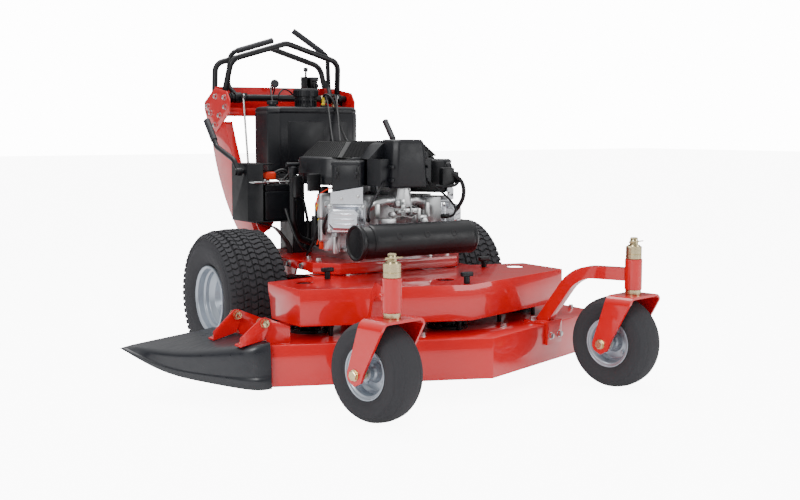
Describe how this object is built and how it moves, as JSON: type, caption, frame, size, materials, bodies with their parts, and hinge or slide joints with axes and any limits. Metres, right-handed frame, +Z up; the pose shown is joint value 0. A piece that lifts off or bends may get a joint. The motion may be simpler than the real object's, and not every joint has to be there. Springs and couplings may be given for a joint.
{
  "type": "walk-behind mower",
  "caption": "Commercial walk-behind rotary mower: side-discharge cutter deck with belt cover, engine, swivelling front casters, driven rear wheels and lever handle.",
  "frame": {"origin": "centre of the ground footprint, on the ground", "axes": "+Y towards the operator, +X towards the machine's left side, +Z up"},
  "size_m": [1.525, 1.6908, 1.1725],
  "materials": {
    "red_paint": "gloss powder coat",
    "black_paint": "satin powder coat",
    "silver_paint": "satin silver enamel",
    "zinc_plate": "yellow-clear zinc plate",
    "cast_aluminium": "as cast",
    "blade_steel": "satin",
    "steel_shaft": "machined",
    "tyre_rubber": "matt",
    "belt_rubber": "matt",
    "moulded_black": "moulded satin",
    "chute_plastic": "moulded satin"
  },
  "bodies": {
    "chassis": {"deck_shell": "red_paint", "belt_cover": "red_paint", "engine_frame": "red_paint", "caster_arm_left": "red_paint", "caster_arm_right": "red_paint", "handle_upright_left": "red_paint", "handle_upright_right": "red_paint", "handle_side_plates": "red_paint", "console_panel": "red_paint", "chute_hinge_brackets": "red_paint", "rear_frame": "black_paint", "handle_bars": "black_paint", "control_bracket": "black_paint", "muffler": "black_paint", "starter_motor": "black_paint", "engine_block": "cast_aluminium", "rocker_covers": "cast_aluminium", "intake_manifold": "cast_aluminium", "transaxles": "cast_aluminium", "spindle_housings": "cast_aluminium", "drive_belts": "belt_rubber", "control_cables": "belt_rubber", "blower_housing": "moulded_black", "air_cleaner_cover": "moulded_black", "fuel_tank": "moulded_black", "battery": "moulded_black", "dipstick_tube": "moulded_black", "oil_filter": "moulded_black"},
    "chute": {"chute_deflector": "chute_plastic", "chute_ears": "red_paint"},
    "crank": {"crank_assembly": "steel_shaft"},
    "blade_left": {"blade_spindle_left": "blade_steel"},
    "blade_centre": {"blade_spindle_centre": "blade_steel"},
    "blade_right": {"blade_spindle_right": "blade_steel"},
    "brake_lever": {"brake_lever": "black_paint"},
    "blade_lever": {"blade_lever": "black_paint"},
    "throttle_lever": {"throttle_lever": "black_paint"},
    "fuel_cap": {"fuel_cap": "moulded_black"},
    "dipstick": {"dipstick": "moulded_black"},
    "caster_swivel_left": {"caster_fork_left": "red_paint", "caster_spindle_left": "zinc_plate"},
    "caster_wheel_left": {"caster_tyre_left": "tyre_rubber", "caster_rim_left": "silver_paint"},
    "drive_wheel_left": {"drive_tyre_left": "tyre_rubber", "drive_rim_left": "silver_paint"},
    "drive_lever_left": {"drive_lever_left": "black_paint"},
    "control_rod_left": {"control_rod_left": "zinc_plate"},
    "control_arm_left": {"control_arm_left": "zinc_plate"},
    "caster_swivel_right": {"caster_fork_right": "red_paint", "caster_spindle_right": "zinc_plate"},
    "caster_wheel_right": {"caster_tyre_right": "tyre_rubber", "caster_rim_right": "silver_paint"},
    "drive_wheel_right": {"drive_tyre_right": "tyre_rubber", "drive_rim_right": "silver_paint"},
    "drive_lever_right": {"drive_lever_right": "black_paint"},
    "control_rod_right": {"control_rod_right": "zinc_plate"},
    "control_arm_right": {"control_arm_right": "zinc_plate"},
    "cover_knob_centre": {"cover_knob_centre": "moulded_black"},
    "cover_knob_left": {"cover_knob_left": "moulded_black"},
    "cover_knob_right": {"cover_knob_right": "moulded_black"}
  },
  "joints": [
    {"name": "chute_hinge", "type": "hinge", "parent": "chassis", "child": "chute", "pos_m": [-0.4645, -0.28855, 0.24], "axis": [0, 1, 0], "range_deg": [0, 95]},
    {"name": "caster_swivel_left", "type": "hinge", "parent": "chassis", "child": "caster_swivel_left", "pos_m": [0.5805, -0.76355, 0.35], "axis": [0, 0, 1], "continuous": true},
    {"name": "caster_spin_left", "type": "hinge", "parent": "caster_swivel_left", "child": "caster_wheel_left", "pos_m": [0.56673, -0.70618, 0.14], "axis": [0.9724, 0.2334, 0], "continuous": true},
    {"name": "wheel_spin_left", "type": "hinge", "parent": "chassis", "child": "drive_wheel_left", "pos_m": [0.5845, 0.22045, 0.2285], "axis": [1, 0, 0], "continuous": true},
    {"name": "drive_lever_left", "type": "hinge", "parent": "chassis", "child": "drive_lever_left", "pos_m": [0.3525, 0.68645, 0.9], "axis": [1, 0, 0], "range_deg": [-10, 5], "stiffness_Nm_per_rad": 8},
    {"name": "rod_pivot_left", "type": "hinge", "parent": "drive_lever_left", "child": "control_rod_left", "pos_m": [0.3425, 0.64445, 0.905], "axis": [1, 0, 0], "range_deg": [-5.5, 10.5]},
    {"name": "swash_arm_left", "type": "hinge", "parent": "chassis", "child": "control_arm_left", "pos_m": [0.3575, 0.43645, 0.335], "axis": [1, 0, 0], "range_deg": [-1.8, 3.5]},
    {"name": "caster_swivel_right", "type": "hinge", "parent": "chassis", "child": "caster_swivel_right", "pos_m": [-0.2755, -0.76355, 0.35], "axis": [0, 0, 1], "continuous": true},
    {"name": "caster_spin_right", "type": "hinge", "parent": "caster_swivel_right", "child": "caster_wheel_right", "pos_m": [-0.28927, -0.70618, 0.14], "axis": [0.9724, 0.2334, 0], "continuous": true},
    {"name": "wheel_spin_right", "type": "hinge", "parent": "chassis", "child": "drive_wheel_right", "pos_m": [-0.2795, 0.22045, 0.2285], "axis": [1, 0, 0], "continuous": true},
    {"name": "drive_lever_right", "type": "hinge", "parent": "chassis", "child": "drive_lever_right", "pos_m": [-0.0475, 0.68645, 0.9], "axis": [1, 0, 0], "range_deg": [-10, 5], "stiffness_Nm_per_rad": 8},
    {"name": "rod_pivot_right", "type": "hinge", "parent": "drive_lever_right", "child": "control_rod_right", "pos_m": [-0.0375, 0.64445, 0.905], "axis": [1, 0, 0], "range_deg": [-5.5, 10.5]},
    {"name": "swash_arm_right", "type": "hinge", "parent": "chassis", "child": "control_arm_right", "pos_m": [-0.0525, 0.43645, 0.335], "axis": [1, 0, 0], "range_deg": [-1.8, 3.5]},
    {"name": "crank_spin", "type": "hinge", "parent": "chassis", "child": "crank", "pos_m": [0.1525, 0.05645, 0.3], "axis": [0, 0, 1], "continuous": true},
    {"name": "blade_spin_left", "type": "hinge", "parent": "chassis", "child": "blade_left", "pos_m": [0.5475, -0.23355, 0.15], "axis": [0, 0, 1], "continuous": true},
    {"name": "blade_spin_centre", "type": "hinge", "parent": "chassis", "child": "blade_centre", "pos_m": [0.1525, -0.39855, 0.15], "axis": [0, 0, 1], "continuous": true},
    {"name": "blade_spin_right", "type": "hinge", "parent": "chassis", "child": "blade_right", "pos_m": [-0.2425, -0.23355, 0.15], "axis": [0, 0, 1], "continuous": true},
    {"name": "brake_lever_pivot", "type": "hinge", "parent": "chassis", "child": "brake_lever", "pos_m": [-0.2095, 0.32845, 0.64], "axis": [1, 0, 0], "range_deg": [0, 38]},
    {"name": "blade_lever_pivot", "type": "hinge", "parent": "chassis", "child": "blade_lever", "pos_m": [0.5145, 0.32845, 0.64], "axis": [1, 0, 0], "range_deg": [0, 38]},
    {"name": "throttle_pivot", "type": "hinge", "parent": "chassis", "child": "throttle_lever", "pos_m": [0.2605, 0.72845, 0.94], "axis": [1, 0, 0], "range_deg": [-15, 35]},
    {"name": "fuel_cap_turn", "type": "hinge", "parent": "chassis", "child": "fuel_cap", "pos_m": [0.1425, 0.50645, 0.915], "axis": [0, 0, 1], "range_deg": [0, 120]},
    {"name": "dipstick_slide", "type": "slide", "parent": "chassis", "child": "dipstick", "axis": [0, 0, 1], "range_m": [0, 0.135]},
    {"name": "cover_knob_turn_centre", "type": "hinge", "parent": "chassis", "child": "cover_knob_centre", "pos_m": [0.1525, -0.50155, 0.34], "axis": [0, 0, 1], "continuous": true},
    {"name": "cover_knob_turn_left", "type": "hinge", "parent": "chassis", "child": "cover_knob_left", "pos_m": [0.4525, -0.17855, 0.34], "axis": [0, 0, 1], "continuous": true},
    {"name": "cover_knob_turn_right", "type": "hinge", "parent": "chassis", "child": "cover_knob_right", "pos_m": [-0.1475, -0.17855, 0.34], "axis": [0, 0, 1], "continuous": true}
  ],
  "couplings": [
    {"joint": "blade_spin_left", "follows": "crank_spin", "ratio": 1.3158},
    {"joint": "blade_spin_centre", "follows": "crank_spin", "ratio": 1.3158},
    {"joint": "blade_spin_right", "follows": "crank_spin", "ratio": 1.3158},
    {"joint": "rod_pivot_left", "follows": "drive_lever_left", "ratio": -1},
    {"joint": "swash_arm_left", "follows": "drive_lever_left", "ratio": -0.328},
    {"joint": "rod_pivot_right", "follows": "drive_lever_right", "ratio": -1},
    {"joint": "swash_arm_right", "follows": "drive_lever_right", "ratio": -0.328}
  ]
}
